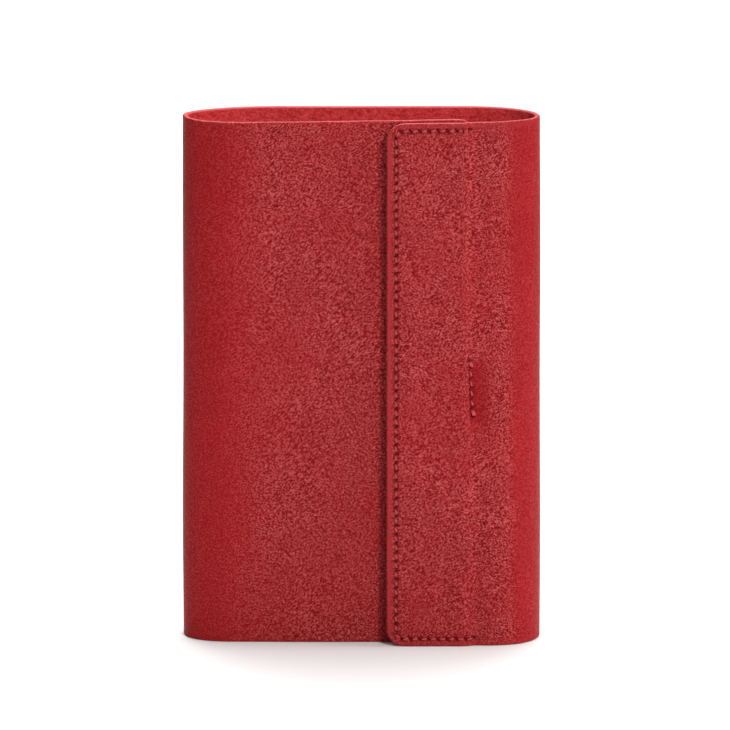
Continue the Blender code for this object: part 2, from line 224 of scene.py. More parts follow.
def wrap_line():
    """The wrap's outer face seen from above."""
    front = eased_line((LEFT + BOW_START, FRONT), (FRONT_END, FRONT + BOW))[::-1]
    spine = round_end(LEFT, SPINE_SIDE[1], (BACK - FRONT) / 2, SPINE_FRONT, SPINE_BACK, -1)
    fore = round_end(RIGHT, FORE_SIDE[1], (BACK - LOW_FACE) / 2, FORE_FRONT, FORE_BACK, 1)[::-1]
    drop = eased_line((RIGHT - DROP_SPAN[0], LOW_FACE), (RIGHT - DROP_SPAN[1], FLAP_FACE))
    return Line(np.concatenate([front, spine, fore, drop, [(FLAP_END, FLAP_FACE)]]), relax=6)


WRAP = wrap_line()
TOTAL = WRAP.length
SPINE_MIDDLE = WRAP.nearest(SPINE_SIDE)
BACK_MIDDLE = WRAP.nearest((0.0, BACK))
FORE_MIDDLE = WRAP.nearest(FORE_SIDE)
FORE_FOLD = WRAP.nearest(joint_mm("fore_edge_fold"))
MAGNET_S = TOTAL - MAGNET_INSET
KEEPER_S = FRONT_END - FLAP_END - MAGNET_INSET


# ---- materials

class Graph:
    """A material's node tree, written as calls. An input is a value or another output."""

    def __init__(self, name):
        self.material = bpy.data.materials.new(name)
        self.material.use_nodes = True
        self.tree = self.material.node_tree
        self.shader = self.tree.nodes["Principled BSDF"]

    def feed(self, socket, value):
        """Link an output, or set a value; three numbers are a colour."""
        if isinstance(value, bpy.types.NodeSocket):
            self.tree.links.new(value, socket)
        elif isinstance(value, tuple) and len(value) == 3 and socket.type == "RGBA":
            socket.default_value = (*value, 1.0)
        else:
            socket.default_value = value

    def node(self, kind, inputs, output=0, **settings):
        """A new node's output, with its inputs fed."""
        made = self.tree.nodes.new("ShaderNode" + kind)
        for name, value in settings.items():
            setattr(made, name, value)
        for name, value in inputs.items():
            self.feed(made.inputs[name], value)
        return made.outputs[output]

    def set(self, **values):
        """Feed the shader itself; an underscore stands for a space."""
        for name, value in values.items():
            self.feed(self.shader.inputs[name.replace("_", " ")], value)

    def times(self, first, second):
        return self.node("Math", {0: first, 1: second}, operation="MULTIPLY")

    def plus(self, first, second):
        return self.node("Math", {0: first, 1: second}, operation="ADD")

    def rest(self, share):
        """What a share leaves of 1."""
        return self.node("Math", {0: 1.0, 1: share}, operation="SUBTRACT")

    def flat(self, scale=(1.0, 1.0, 1.0), turn=0.0):
        """The flat place in millimetres, turned and then scaled."""
        place = self.node("Attribute", {}, output="Vector", attribute_name="flat")
        turned = self.node("Mapping", {"Vector": place, "Rotation": (0.0, 0.0, turn)})
        return self.node("Mapping", {"Vector": turned, "Scale": scale})

    def tone(self, channel):
        """One channel of the tone attribute: painted shade in the stitch holes, band or bend."""
        place = self.node("Attribute", {}, output="Vector", attribute_name="tone")
        return self.node("SeparateXYZ", {"Vector": place}, output=channel)

    def noise(self, vector, scale, detail=2.0, roughness=0.5, distortion=0.0):
        return self.node("TexNoise", {"Vector": vector, "Scale": scale, "Detail": detail,
                                      "Roughness": roughness, "Distortion": distortion})

    def ramp(self, value, low, high, start=0.0, end=1.0):
        """A value between low and high, brought to between start and end."""
        return self.node("MapRange", {"Value": value, "From Min": low, "From Max": high,
                                      "To Min": start, "To Max": end})

    def mix(self, share, first, second):
        """Two colours mixed by a share from 0 to 1."""
        made = self.tree.nodes.new("ShaderNodeMix")
        made.data_type = "RGBA"
        self.feed(made.inputs["Factor"], share)
        colours = [socket for socket in made.inputs if socket.type == "RGBA"]
        self.feed(colours[0], first)
        self.feed(colours[1], second)
        return next(socket for socket in made.outputs if socket.type == "RGBA")

    def bump(self, height, strength, distance, normal=None):
        inputs = {"Height": height, "Strength": strength, "Distance": distance}
        if normal is not None:
            inputs["Normal"] = normal
        return self.node("Bump", inputs)


LEATHER_RED = (0.292, 0.0058, 0.0085)  # grain side; the deep one is a random deep tone and the painted shade in the grain's valleys, the pale one a painted highlight on its peaks
LEATHER_DEEP_AND_VALLEY_SHADE = (0.120, 0.0012, 0.003)
PEAK_HIGHLIGHT_PALE = (0.61, 0.108, 0.106)
HOLE_SHADE_RED = (0.10, 0.0012, 0.0025)  # painted shade in the stitch holes and along the seams
BAND_PINK = (0.37, 0.038, 0.043)  # burnished along the free edges
SUEDE_DEEP = (0.33, 0.0085, 0.011)
SUEDE_LIGHT = (0.72, 0.075, 0.080)
SHEEN_ROSE = (0.9, 0.25, 0.25, 1.0)
EDGE_RED = (0.46, 0.045, 0.050)
EDGE_PALE = (0.70, 0.12, 0.13)
EDGE_WORN = (0.45, 0.04, 0.046)
THREAD_RED = (0.40, 0.018, 0.024)
THREAD_PALE = (0.68, 0.10, 0.11)
PAGE_CREAM = (0.80, 0.765, 0.68)
ENDPAPER_CREAM = (0.72, 0.68, 0.60)
CARD_DARK = (0.045, 0.042, 0.043)
CARD_GREY = (0.078, 0.074, 0.074)
CARD_FLECK = (0.2, 0.19, 0.18)
PLATING_GREY = (0.62, 0.61, 0.60)
STEEL_GREY = (0.50, 0.50, 0.51)
FLOOR_WHITES = ((0.93, 0.93, 0.93), (0.95, 0.95, 0.95))


def leather_grain():
    """Grain side: fine pebbles and stretched wrinkles, smooth where it bends and is burnished;
    painted shade in the valleys and stitch holes, painted highlight on the peaks.
    """
    g = Graph("wrap_leather")
    band, bend, hollow = g.tone("Y"), g.tone("Z"), g.tone("X")
    calm = g.times(g.rest(g.times(band, 0.8)), g.rest(g.times(bend, 0.72)))
    falling = g.noise(g.flat(scale=(0.8, 2.0, 1.0), turn=math.radians(38)), 1.8, 2.0, 0.6, 0.4)
    rising = g.noise(g.flat(scale=(0.9, 1.8, 1.0), turn=math.radians(-32)), 1.8, 2.0, 0.6, 0.4)
    region = g.ramp(g.noise(g.flat(), 0.07, 2.0), 0.38, 0.52)
    streaks = g.plus(g.times(falling, region), g.times(rising, g.rest(region)))
    pebbles = g.node("TexVoronoi", {"Vector": g.flat(), "Scale": 2.0, "Randomness": 1.0},
                     feature="SMOOTH_F1", output="Distance")
    domes = g.ramp(pebbles, 0.65, 0.15)
    grain = g.plus(g.times(g.ramp(streaks, 0.40, 0.60), 0.72), g.times(domes, 0.28))
    depth = g.ramp(g.noise(g.flat(), 0.04, 2.0, 0.5), 0.36, 0.60, 0.76, 1.0)
    contrast = g.times(calm, depth)
    relief = g.times(grain, contrast)
    lumps = g.bump(g.noise(g.flat(), 0.16, 2.0), 0.5, 0.0005)
    normal = g.bump(relief, 0.9, 0.00016, lumps)

    mottle = g.ramp(g.noise(g.flat(), 0.045, 3.0, 0.6), 0.3, 0.7, 0.0, 0.16)
    colour = g.mix(mottle, LEATHER_RED, LEATHER_DEEP_AND_VALLEY_SHADE)
    # painted shade in the grain's valleys and painted highlight on its peaks, in place of the
    # light that the pebbles catch
    valley_shade = g.times(g.ramp(grain, 0.46, 0.12), contrast)
    peak_highlight = g.times(g.ramp(grain, 0.42, 0.86), contrast)
    colour = g.mix(g.times(valley_shade, 0.85), colour, LEATHER_DEEP_AND_VALLEY_SHADE)
    colour = g.mix(g.times(peak_highlight, 0.80), colour, PEAK_HIGHLIGHT_PALE)
    colour = g.mix(g.times(band, 0.6), colour, BAND_PINK)
    # painted shade in the stitch holes and along the seams' furrows
    colour = g.mix(hollow, colour, HOLE_SHADE_RED)
    gloss = g.ramp(grain, 0.2, 0.8, 0.62, 0.46)
    g.set(Base_Color=colour, Roughness=gloss, Normal=normal)
    g.set(Specular_IOR_Level=0.07)
    return g.material


def flesh_side(name="flesh_suede", warm=1.0):
    """Flesh side: short fuzz, brushed here and there. warm scales its red."""
    g = Graph(name)
    fuzz = g.noise(g.flat(), 1.5, 4.0, 0.72, 0.4)
    nap = g.noise(g.flat(scale=(0.5, 1.6, 1.0), turn=0.15), 0.8, 3.0, 0.6)
    patches = g.noise(g.flat(), 0.11, 3.0, 0.6)
    deep, light = ((colour[0] * warm, *colour[1:]) for colour in (SUEDE_DEEP, SUEDE_LIGHT))
    mixed = g.plus(g.times(fuzz, 0.55), g.times(nap, 0.35))
    mixed = g.plus(mixed, g.times(patches, 0.10))
    colour = g.mix(g.ramp(mixed, 0.40, 0.66), deep, light)
    # painted shade in the stitch holes and along the seams' furrows
    g.set(Base_Color=g.mix(g.tone("X"), colour, HOLE_SHADE_RED), Roughness=0.93)
    g.set(Normal=g.bump(mixed, 0.8, 0.0004), Specular_IOR_Level=0.12)
    g.set(Sheen_Weight=0.12, Sheen_Roughness=0.45, Sheen_Tint=SHEEN_ROSE)
    return g.material


def cut_edge():
    """Burnished cut edge: paler, slightly waxed, with fine layers along it."""
    g = Graph("cut_edge")
    layers = g.noise(g.flat(scale=(0.35, 0.35, 4.0)), 1.6, 3.0, 0.6)
    patches = g.noise(g.flat(), 0.3, 2.0)
    colour = g.mix(g.ramp(layers, 0.3, 0.7), EDGE_RED, EDGE_PALE)
    colour = g.mix(g.ramp(patches, 0.35, 0.75, 0.0, 0.5), colour, EDGE_WORN)
    g.set(Base_Color=colour, Roughness=g.ramp(layers, 0.3, 0.7, 0.42, 0.6))
    g.set(Normal=g.bump(layers, 0.5, 0.00015), Specular_IOR_Level=0.25)
    return g.material


def waxed_thread():
    """Sewing thread: twisted fibres under wax."""
    g = Graph("waxed_thread")
    fibres = g.noise(g.flat(scale=(3.0, 3.0, 3.0)), 2.2, 3.0, 0.6)
    colour = g.mix(g.ramp(fibres, 0.3, 0.7), THREAD_RED, THREAD_PALE)
    g.set(Base_Color=colour, Roughness=0.42, Specular_IOR_Level=0.3)
    g.set(Normal=g.bump(fibres, 0.6, 0.0001))
    return g.material


def page_paper(name, tint):
    """Uncoated paper: fibres and a slight cloudiness."""
    g = Graph(name)
    fibres = g.noise(g.flat(scale=(1.0, 0.3, 1.0), turn=0.7), 3.0, 5.0, 0.7, 0.5)
    cloud = g.noise(g.flat(), 0.12, 2.0)
    pale = tuple(min(1.0, part * 1.06) for part in tint)
    dark = tuple(part * 0.9 for part in tint)
    shade = g.plus(g.times(fibres, 0.6), g.times(cloud, 0.4))
    g.set(Base_Color=g.mix(g.ramp(shade, 0.35, 0.65), dark, pale), Roughness=0.85)
    g.set(Normal=g.bump(fibres, 0.25, 0.00006), Specular_IOR_Level=0.3)
    return g.material


def cover_card():
    """Dyed card: mottled fibres, a slight satin."""
    g = Graph("cover_card")
    fibres = g.noise(g.flat(scale=(0.7, 1.6, 1.0), turn=0.3), 1.8, 5.0, 0.7, 0.3)
    flecks = g.ramp(g.noise(g.flat(), 3.2, 2.0), 0.66, 0.74, 0.0, 0.35)
    colour = g.mix(g.ramp(fibres, 0.3, 0.7), CARD_DARK, CARD_GREY)
    colour = g.mix(flecks, colour, CARD_FLECK)
    g.set(Base_Color=colour, Roughness=g.ramp(fibres, 0.3, 0.7, 0.55, 0.72))
    g.set(Normal=g.bump(fibres, 0.4, 0.0001), Specular_IOR_Level=0.4)
    return g.material


def brushed_metal(name, tint):
    """Brushed metal, dull in places."""
    g = Graph(name)
    streaks = g.noise(g.flat(scale=(6.0, 0.12, 1.0)), 1.4, 4.0, 0.6)
    stains = g.noise(g.flat(), 0.25, 3.0)
    dull = tuple(part * 0.72 for part in tint)
    g.set(Base_Color=g.mix(g.ramp(stains, 0.35, 0.7), tint, dull), Metallic=1.0)
    g.set(Roughness=g.ramp(streaks, 0.3, 0.7, 0.24, 0.44), Anisotropic=0.5)
    g.set(Normal=g.bump(streaks, 0.25, 0.00004))
    return g.material


GRAIN = leather_grain()
FLESH = flesh_side()
EDGE = cut_edge()
STRIP = flesh_side("lining_suede", 0.92)
THREAD = waxed_thread()
PAPER = page_paper("page_paper", PAGE_CREAM)
ENDPAPER = page_paper("end_paper", ENDPAPER_CREAM)
CARD_BLACK = cover_card()
MAGNET = brushed_metal("magnet_plating", PLATING_GREY)
KEEPER = brushed_metal("keeper_steel", STEEL_GREY)


# ---- mesh from layers

FAR = 1e9  # further than anything here, in millimetres
SHARP_ANGLE = math.radians(48)
CORNER_ANGLES = np.radians(np.arange(0, 64, 8))


def new_object(name, data):
    """An object in the scene."""
    made = bpy.data.objects.new(name, data)
    bpy.context.scene.collection.objects.link(made)
    return made


def new_piece(name, points, faces, slots, materials, flat, tone=None):
    """A shaded mesh object that keeps each point's flat place and tone."""
    mesh = bpy.data.meshes.new(name)
    mesh.from_pydata(points, [], faces)
    for material in materials:
        mesh.materials.append(material)
    mesh.polygons.foreach_set("material_index", np.asarray(slots, np.int32))
    for label, values in (("flat", flat), ("tone", tone)):
        if values is None:
            values = np.zeros((len(points), 3))
        layer = mesh.attributes.new(label, "FLOAT_VECTOR", "POINT")
        layer.data.foreach_set("vector", np.asarray(values, np.float32).ravel())
    mesh.shade_smooth()
    mesh.set_sharp_from_angle(angle=SHARP_ANGLE)
    mesh.update()
    return new_object(name, mesh)


def marks(start, end, step, fine=()):
    """Numbers from start to end, a step apart, closer inside the fine (low, high, step) zones."""
    made = [start]
    while made[-1] < end - 1e-6:
        steps = [zone[2] for zone in fine if zone[0] <= made[-1] < zone[1]]
        made.append(made[-1] + min([step] + steps))
    made = np.array(made)
    return start + (made - start) * (end - start) / (made[-1] - start)


def with_corner(values, end, way, radius):
    """Stations with the crowded ones that a rounded corner needs added at one end."""
    arc = radius * (1 - np.cos(CORNER_ANGLES))
    clear = arc[-1] + 0.1
    kept = values[np.abs(values - end) > clear]
    return np.sort(np.concatenate([kept, end - way * arc]))


class Sheet:
    """A leather layer: its stations, its free ends and its rounded outline, flat."""

    def __init__(self, start, end, free_start, free_end, low, high, radius, edge, step, fine=()):
        self.start = start + edge if free_start else start
        self.end = end - edge if free_end else end
        self.free = (free_start, free_end)
        self.low, self.high = low + edge, high - edge
        self.radius = max(radius - edge, 0.05)
        self.edge = edge
        s = marks(self.start, self.end, step, fine)
        if free_start:
            s = with_corner(s, self.start, -1, self.radius)
        if free_end:
            s = with_corner(s, self.end, 1, self.radius)
        self.s = s

    def rise(self, s):
        """How far the outline is above the straight edge at a station."""
        near = np.full_like(s, FAR)
        if self.free[0]:
            near = np.minimum(near, s - self.start)
        if self.free[1]:
            near = np.minimum(near, self.end - s)
        inside = np.clip(self.radius - near, 0.0, self.radius)
        return self.radius - np.sqrt(np.maximum(self.radius ** 2 - inside ** 2, 0.0))

    def grid(self, rows):
        """Flat places of the whole layer, from the rows' shares of its height."""
        lift = self.rise(self.s)
        low, high = self.low + lift, self.high - lift
        z = low[:, None] + (high - low)[:, None] * rows[None, :]
        return np.broadcast_to(self.s[:, None], z.shape).copy(), z


def rim_chains(count_s, count_z, free):
    """Grid places along the free outline, counter-clockwise; cut ends are left out."""
    bottom = [(i, 0) for i in range(count_s)]
    right = [(count_s - 1, j) for j in range(count_z)]
    top = [(i, count_z - 1) for i in reversed(range(count_s))]
    left = [(0, j) for j in reversed(range(count_z))]
    if free == (True, True):
        return [bottom + right[1:] + top[1:] + left[1:-1]], True
    if free == (False, True):
        return [bottom + right[1:] + top[1:]], False
    if free == (True, False):
        return [top + left[1:] + bottom[1:]], False
    return [bottom, top], False


def outward_normals(places, closed):
    """Flat directions out of a counter-clockwise chain."""
    if closed:
        before, after = np.roll(places, 1, axis=0), np.roll(places, -1, axis=0)
    else:
        before = np.concatenate([places[:1], places[:-1]])
        after = np.concatenate([places[1:], places[-1:]])
    normals = np.zeros_like(places)
    for a, b in ((before, places), (places, after)):
        way = b - a
        size = np.maximum(np.linalg.norm(way, axis=1), 1e-9)[:, None]
        normals += np.stack([way[:, 1], -way[:, 0]], 1) / size
    return normals / np.maximum(np.linalg.norm(normals, axis=1), 1e-9)[:, None]


GRAIN_SIDE, FLESH_SIDE, CUT_EDGE = range(3)  # a layer's material slots
RIM_STEPS = 5
GRAIN_RIM = 2  # strips of the rounded edge that still have grain


def side_faces(number, size):
    """The grain side's quads, and then the flesh side's."""
    a, b = number[:-1, :-1].ravel(), number[1:, :-1].ravel()
    c, d = number[1:, 1:].ravel(), number[:-1, 1:].ravel()
    return np.stack([a, d, c, b], 1).tolist() + (np.stack([a, b, c, d], 1) + size).tolist()


def rim_rows(base_out, base_in, way, edge):
    """Rows of points that round a cut edge, from the grain side to the flesh side."""
    for step in range(1, RIM_STEPS + 1):
        angle = math.pi * step / (RIM_STEPS + 1)
        share = (1 - math.cos(angle)) / 2
        places = base_out * (1 - share) + base_in * share
        places[:, :2] += way * edge * math.sin(angle)
        yield places


def cap_faces(column, low_rim, high_rim, size):
    """The faces that close a layer where it is cut across."""
    caps = [[int(p), int(p + size), int(q + size), int(q)]
            for p, q in zip(column[:-1], column[1:])]
    caps.append([low_rim[-1]] + low_rim[:-1])
    caps.append([high_rim[0]] + high_rim[:0:-1])
    return caps


def leather_piece(name, line, sheet, rows, depth, thickness, relief, materials):
    """A closed layer with grain side, flesh side and rounded cut edges."""
    s, z = sheet.grid(rows)
    count_s, count_z = s.shape
    size = s.size
    out, inner, tone_out, tone_in = relief(s, z)
    flat_out = np.stack([s, z, depth + out], -1)
    flat_in = np.stack([s, z, depth + thickness + inner], -1)
    flats = [flat_out.reshape(-1, 3), flat_in.reshape(-1, 3)]
    tone_rows = [tone_out.reshape(-1, 3), tone_in.reshape(-1, 3)]
    number = np.arange(size).reshape(count_s, count_z)
    faces = side_faces(number, size)
    slots = [side for side in (GRAIN_SIDE, FLESH_SIDE) for _face in range(len(faces) // 2)]

    chains, closed = rim_chains(count_s, count_z, sheet.free)
    total = 2 * size
    rim_at = {}
    for chain in chains:
        at = np.array(chain)
        base_out = flat_out[at[:, 0], at[:, 1]]
        base_in = flat_in[at[:, 0], at[:, 1]]
        way = outward_normals(base_out[:, :2], closed)
        if not closed:
            way[0], way[-1] = (0.0, np.sign(way[0][1])), (0.0, np.sign(way[-1][1]))
        first = number[at[:, 0], at[:, 1]]
        loops = [first]
        for places in rim_rows(base_out, base_in, way, sheet.edge):
            flats.append(places)
            tone_rows.append(np.zeros((len(at), 3)))
            loops.append(np.arange(total, total + len(at)))
            total += len(at)
        loops.append(first + size)
        for position in (0, -1):
            rim_at[tuple(chain[position])] = [int(loop[position]) for loop in loops]
        for step, (upper, lower) in enumerate(zip(loops, loops[1:])):
            quads = np.stack([upper, np.roll(upper, -1), np.roll(lower, -1), lower], 1)
            quads = quads if closed else quads[:-1]
            faces += quads.tolist()
            slots += [GRAIN_SIDE if step < GRAIN_RIM else CUT_EDGE] * len(quads)

    for side, i in ((0, 0), (1, count_s - 1)):
        if sheet.free[side]:
            continue
        caps = cap_faces(number[i], rim_at[(i, 0)], rim_at[(i, count_z - 1)], size)
        faces += caps if side == 0 else [cap[::-1] for cap in caps]
        slots += [CUT_EDGE] * len(caps)
    flat = np.concatenate(flats)
    points = line.place(flat[:, 0], flat[:, 1], flat[:, 2])
    return new_piece(name, points.tolist(), faces, slots, materials, flat,
                     np.concatenate(tone_rows))


# ---- seams

SLANT = 0.2  # half of a stitch's sideways step
HOLE_DEPTH = 0.55
HOLE_AHEAD = 0.33  # a hole's middle lies past its stitch's end
HOLE_SIZE = (0.52, 0.42)  # along and across the stitch
HOLE_REACH = 2.0  # no hole is felt further from the seam than this
FURROW_DEPTH = 0.2
FURROW_WIDTH = 0.55
# how much painted shade lies along a seam's furrow
FURROW_SHADE = 0.25
PLY_RINGS, PLY_SIDES = 13, 7
PLY_TURNS = 1.1
PLY_TWIST_RADIUS = 0.85 * PLY_RADIUS
THREAD_SUNK = 0.5  # how deep a stitch's ends are under the face
SEAM_LIFT = -0.04  # how far a stitch's middle stands out: pressed in outside
TACK_LIFT = -0.02
DOUBLED_LIFT = 0.02  # the tack's end stitches are sewn twice
DOUBLED_BESIDE = (-0.42, 0.0)


def rounded(points, reach, steps):
    """A route with its inner corners rounded, or cut off with one step."""
    made = [np.array(points[0], float)]
    for before, corner, after in zip(points, points[1:], points[2:]):
        corner = np.array(corner, float)
        ways = [np.array(other, float) - corner for other in (before, after)]
        start, end = (corner + unit(way) * reach for way in ways)
        for i in range(steps + 1):
            t = i / steps
            made.append((1 - t) ** 2 * start + 2 * t * (1 - t) * corner + t * t * end)
    made.append(np.array(points[-1], float))
    return np.array(made)


class Seam:
    """A row of stitches along a flat route, the hollows it makes and its thread."""

    def __init__(self, route):
        self.route = route
        gaps = np.linalg.norm(np.diff(route, axis=0), axis=1)
        self.along = np.concatenate([[0.0], np.cumsum(gaps)])
        count = max(1, round(self.along[-1] / STITCH_PITCH))
        pitch = self.along[-1] / count
        self.stitches = []
        for i in range(count):
            middle = (i + 0.5) * pitch
            first, last = (self.at(middle + way * STITCH_LENGTH / 2) for way in (-1, 1))
            way = unit(last - first)
            across = np.array([-way[1], way[0]]) * SLANT
            self.stitches.append((first + across, last - across))

    def at(self, distance):
        return np.array([np.interp(distance, self.along, self.route[:, i]) for i in range(2)])

    def hollow(self, s, z):
        """How deep the leather is pulled in, and how much painted shade each place gets from the
        holes and the furrow.
        """
        nearest = np.full(s.shape, FAR)
        for a, b in zip(self.route, self.route[1:]):
            way = b - a
            share = ((s - a[0]) * way[0] + (z - a[1]) * way[1]) / (way @ way)
            share = np.clip(share, 0.0, 1.0)
            gap = np.hypot(s - a[0] - share * way[0], z - a[1] - share * way[1])
            nearest = np.minimum(nearest, gap)
        furrow = np.exp(-(nearest / FURROW_WIDTH) ** 2)
        holes = np.zeros(s.shape)
        near = nearest < HOLE_REACH
        ends = [(end, unit(last - first) * side)
                for first, last in self.stitches for side, end in ((-1, first), (1, last))]
        for end, way in ends:
            centre = end + way * HOLE_AHEAD
            along = (s[near] - centre[0]) * way[0] + (z[near] - centre[1]) * way[1]
            across = (s[near] - centre[0]) * way[1] - (z[near] - centre[1]) * way[0]
            hole = np.exp(-(along / HOLE_SIZE[0]) ** 2 - (across / HOLE_SIZE[1]) ** 2)
            holes[near] = np.maximum(holes[near], hole)
        # painted shade: full in the holes, weaker along the furrow
        dark = np.clip(holes + FURROW_SHADE * furrow, 0, 1)
        return FURROW_DEPTH * furrow + HOLE_DEPTH * holes, dark


def thread_tubes(stitches, face, way, lift):
    """Two twisted plies for each stitch, flat: points and faces. way points out of the face."""
    points, faces = [], []
    for first, last in stitches:
        along = unit(last - first)
        across = np.array([-along[1], along[0]])
        for ply in range(2):
            start = len(points)
            for i in range(PLY_RINGS):
                t = i / (PLY_RINGS - 1)
                arch = math.sin(math.pi * t) ** 0.45 if 0 < t < 1 else 0.0
                phase = 2 * math.pi * (PLY_TURNS * t + ply / 2)
                middle = first + (last - first) * t
                centre = middle + across * PLY_TWIST_RADIUS * math.cos(phase)
                height = (THREAD_SUNK + lift) * arch - THREAD_SUNK
                depth = face + way * (height + PLY_TWIST_RADIUS * math.sin(phase))
                radius = PLY_RADIUS * (0.75 + 0.25 * arch)
                for k in range(PLY_SIDES):
                    angle = 2 * math.pi * k / PLY_SIDES
                    place = centre + across * radius * math.cos(angle)
                    points.append((*place, depth + way * radius * math.sin(angle)))
            for i in range(PLY_RINGS - 1):
                ring = start + i * PLY_SIDES
                for k in range(PLY_SIDES):
                    a, b = ring + k, ring + (k + 1) % PLY_SIDES
                    quad = [a, b, b + PLY_SIDES, a + PLY_SIDES]
                    faces.append(quad if way > 0 else quad[::-1])
            last_ring = start + (PLY_RINGS - 1) * PLY_SIDES
            ends = [list(range(start, start + PLY_SIDES))[::-1],
                    list(range(last_ring, last_ring + PLY_SIDES))]
            faces += ends if way > 0 else [end[::-1] for end in ends]
    return points, faces


def thread_piece(name, rows):
    """A thread object from (stitches, face depth, way out, lift) rows."""
    points, faces = [], []
    for stitches, face, way, lift in rows:
        made, made_faces = thread_tubes(stitches, face, way, lift)
        faces += [[i + len(points) for i in one] for one in made_faces]
        points += made
    flat = np.array(points)
    flat[:, 2] += lie(flat[:, 0], flat[:, 1])
    places = WRAP.place(flat[:, 0], flat[:, 1], flat[:, 2])
    return new_piece(name, places.tolist(), faces, [0] * len(faces), [THREAD], flat)


POCKET_END = FORE_FOLD - POCKET_INSET
POCKET_START = POCKET_END - POCKET_WIDTH


def strip_route(inner, outer, inset):
    """Three sides of a strip: its top, its outer edge and its bottom, with cut corners."""
    high, low = HEIGHT - inset, inset
    route = [(inner, high), (outer, high), (outer, low), (inner, low)]
    return rounded(route, SEAM_CHAMFER, steps=1)


FLAP_SEAM = Seam(strip_route(TOTAL - LINING_WIDTH + ROW_END, TOTAL - FLAP_SEAM_INSET, SEAM_INSET))
FACING_SEAM = Seam(strip_route(FACING_WIDTH - ROW_END, SEAM_INSET, SEAM_INSET)[::-1])
POCKET_SEAM_ROW = Seam(strip_route(POCKET_START + ROW_END, POCKET_END - POCKET_SEAM,
                                   POCKET_MARGIN + POCKET_SEAM))
TACK_S = TOTAL - LINING_WIDTH + TACK_INSET
TACK = Seam(np.array([(TACK_S + TACK_TILT, TACK_MIDDLE + TACK_LENGTH / 2),
                      (TACK_S - TACK_TILT, TACK_MIDDLE - TACK_LENGTH / 2)]))


# ---- how the leather lies

TOP_LEAN = 1.8  # the front panel's top leans in under the flap
LEAN_FROM = 50.0  # height where that lean starts
LEAN_SPAN = 45.0  # and how far along the panel it grows
FLAP_TOP_IN = 2.9  # how far the flap's top leans in, and its share at the free edge
FLAP_TOP_FREE = 0.66
FLAP_TOP_SPAN = 20.0  # and how far along the flap it grows
FOOT_OUT = (0.8, 1.3)  # how far its foot stands out, lined and unlined
LINED = 22.0  # from the flap's free edge to the end of its stiff, lined stretch
SHOULDER = (0.7, 10.0, 9.0)  # the front's top stands out beside the spine: how far, where, width
SPINE_BEND = (33.0, 19.0)  # half width of each smooth bend, and of its soft border
FORE_BEND = (17.5, 5.5)


def lie(s, z):
    """How far the layers lie in from the plain outline. Every layer shares it."""
    wave = (0.10 * np.sin(s / 9.1 + z / 31.0)
            + 0.08 * np.sin(z / 14.3 - s / 22.0)
            + 0.05 * np.sin(s / 5.3 + 1.7) * np.sin(z / 11.9 + 0.4))
    high = eased((z - LEAN_FROM) / (HEIGHT - LEAN_FROM))
    front = TOP_LEAN * eased((BOW_START - s) / LEAN_SPAN) * high
    stand_out, beyond, width = SHOULDER
    shoulder = stand_out * np.exp(-((s - BOW_START - beyond) / width) ** 2) * high
    from_edge = TOTAL - s
    share = FLAP_TOP_FREE + (1 - FLAP_TOP_FREE) * eased(from_edge / FLAP_TOP_SPAN)
    top_in = FLAP_TOP_IN * share
    foot_out = FOOT_OUT[0] + (FOOT_OUT[1] - FOOT_OUT[0]) * eased((from_edge - LINED) / 8.0)
    turned = eased((s - FORE_MIDDLE) / 15.0)
    flap = turned * ((top_in + foot_out) * z / HEIGHT - foot_out)
    return wave + front - shoulder + flap


def bend_share(s):
    """1 in the round ends and 0 on the flats."""
    shares = [eased((half - np.abs(s - middle)) / border)
              for middle, (half, border) in ((SPINE_MIDDLE, SPINE_BEND), (FORE_MIDDLE, FORE_BEND))]
    return np.maximum(*shares)


def tones(s, dark=0.0, band=0.0, bend=0.0):
    """The tone attribute: painted shade in the stitch holes and furrows, smooth band and smooth
    bend, each from 0 to 1.
    """
    return np.stack([np.broadcast_to(np.clip(part, 0.0, 1.0), s.shape)
                     for part in (dark, band, bend)], -1)


BAND_WIDTH = 1.7  # smooth band along the flap's free edge
END_BAND = (0.4, 0.9)  # strength and width of the one along the top and bottom edges
SEWN_BAND = 0.45  # strength of the one between the flap's end rows and its edges


def nowhere(s, z):
    return np.zeros_like(s)


def end_band(s, z):
    """The narrow smooth band along the top and bottom edges."""
    return END_BAND[0] * eased(1 - np.minimum(z, HEIGHT - z) / END_BAND[1])


def front_band(s, z):
    """The front panel's smooth band, wider along its free edge."""
    return np.maximum(eased(1.25 - s / SEAM_INSET), end_band(s, z))


def flap_band(s, z):
    """The flap's smooth band, up to its seams."""
    side = eased(1.3 - (TOTAL - s) / BAND_WIDTH)
    ends = SEWN_BAND * eased(1.2 - np.minimum(z, HEIGHT - z) / SEAM_INSET)
    return np.maximum(side, ends)


def loose_relief(shift):
    """Relief of a layer that only follows shift(s, z)."""
    def relief(s, z):
        out = shift(s, z)
        return out, out, tones(s), tones(s)
    return relief


def recess(s, z, middle_s):
    """1 where a magnet or a keeper plate is let in."""
    reach_s, reach_z = MAGNET_SIZE[0] / 2 + RECESS_ROOM, MAGNET_SIZE[1] / 2 + RECESS_ROOM
    across = eased((reach_s - np.abs(s - middle_s)) / RECESS_SLOPE)
    along = [eased((reach_z - np.abs(z - height)) / RECESS_SLOPE) for height in MAGNET_HEIGHTS]
    return across * np.maximum(*along)


def sewn(s, z, seams):
    """How deep a layer's seams pull it in, and how much painted shade their holes and furrows get.
    """
    depth, dark = np.zeros_like(s), np.zeros_like(s)
    for seam in seams:
        seam_depth, holes = seam.hollow(s, z)
        depth, dark = depth + seam_depth, np.maximum(dark, holes)
    return depth, dark


